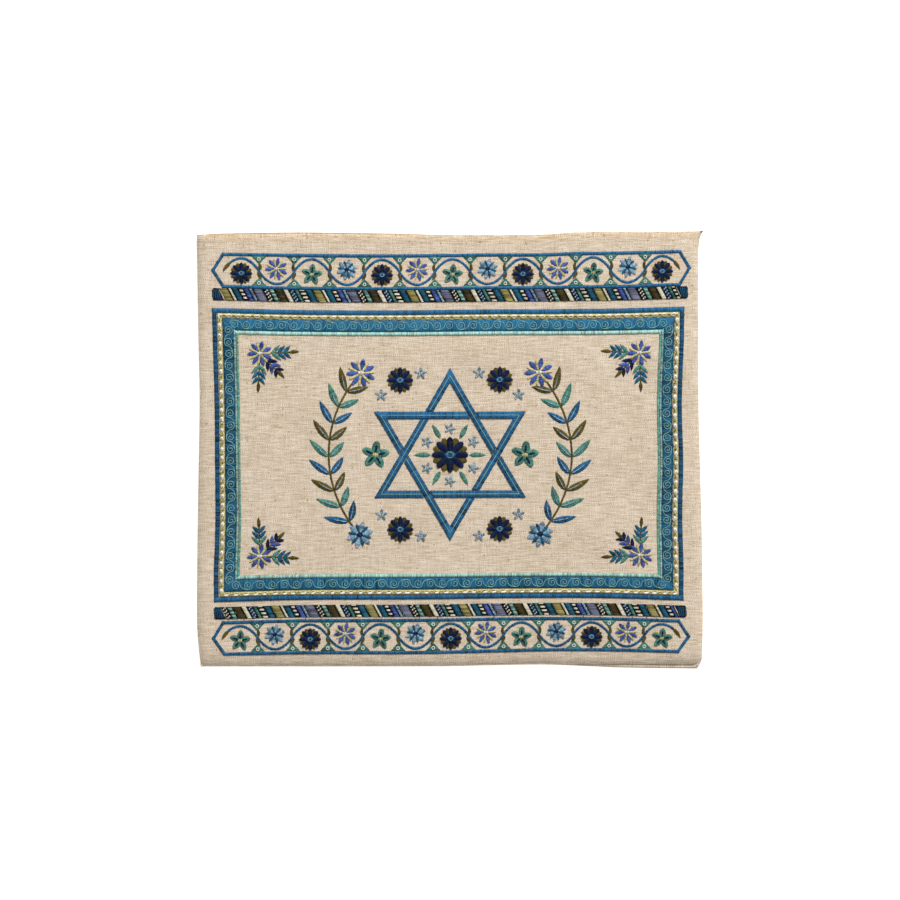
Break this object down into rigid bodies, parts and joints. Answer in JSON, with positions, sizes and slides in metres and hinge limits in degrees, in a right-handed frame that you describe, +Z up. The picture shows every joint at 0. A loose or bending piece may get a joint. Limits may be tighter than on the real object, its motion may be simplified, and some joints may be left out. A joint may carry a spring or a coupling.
{
  "type": "tefillin bag",
  "caption": "Flat linen bag lying on its back, its mouth along the top edge, with raised stitched lines, a twisted cord and bar strips framing the field of its front panel.",
  "frame": {"origin": "under the middle of the bag, on the surface that it lies on", "axes": "+X to the right as the front is read, +Y towards the mouth, +Z up out of the front panel"},
  "size_m": [0.2538, 0.2193, 0.0079],
  "materials": {
    "front_panel": "natural linen in a plain weave, matt",
    "back_panel": "natural linen in a plain weave, matt",
    "frame_outer_line": "blue satin stitch, soft sheen",
    "frame_twisted_cord": "gold and white stitches laid like a twisted cord, soft sheen",
    "frame_scroll_band": "blue satin stitch with a pale scroll line, soft sheen",
    "frame_inner_line": "teal satin stitch, soft sheen",
    "upper_flower_band_line": "blue satin stitch, soft sheen",
    "lower_flower_band_line": "blue satin stitch, soft sheen",
    "upper_bar_strip": "navy, blue, gold and cream satin stitch, soft sheen",
    "lower_bar_strip": "navy, blue, gold and cream satin stitch, soft sheen"
  },
  "bodies": {
    "root": {"front_panel": "front_panel", "back_panel": "back_panel", "frame_outer_line": "frame_outer_line", "frame_twisted_cord": "frame_twisted_cord", "frame_scroll_band": "frame_scroll_band", "frame_inner_line": "frame_inner_line", "upper_flower_band_line": "upper_flower_band_line", "lower_flower_band_line": "lower_flower_band_line", "upper_bar_strip": "upper_bar_strip", "lower_bar_strip": "lower_bar_strip"}
  },
  "joints": []
}
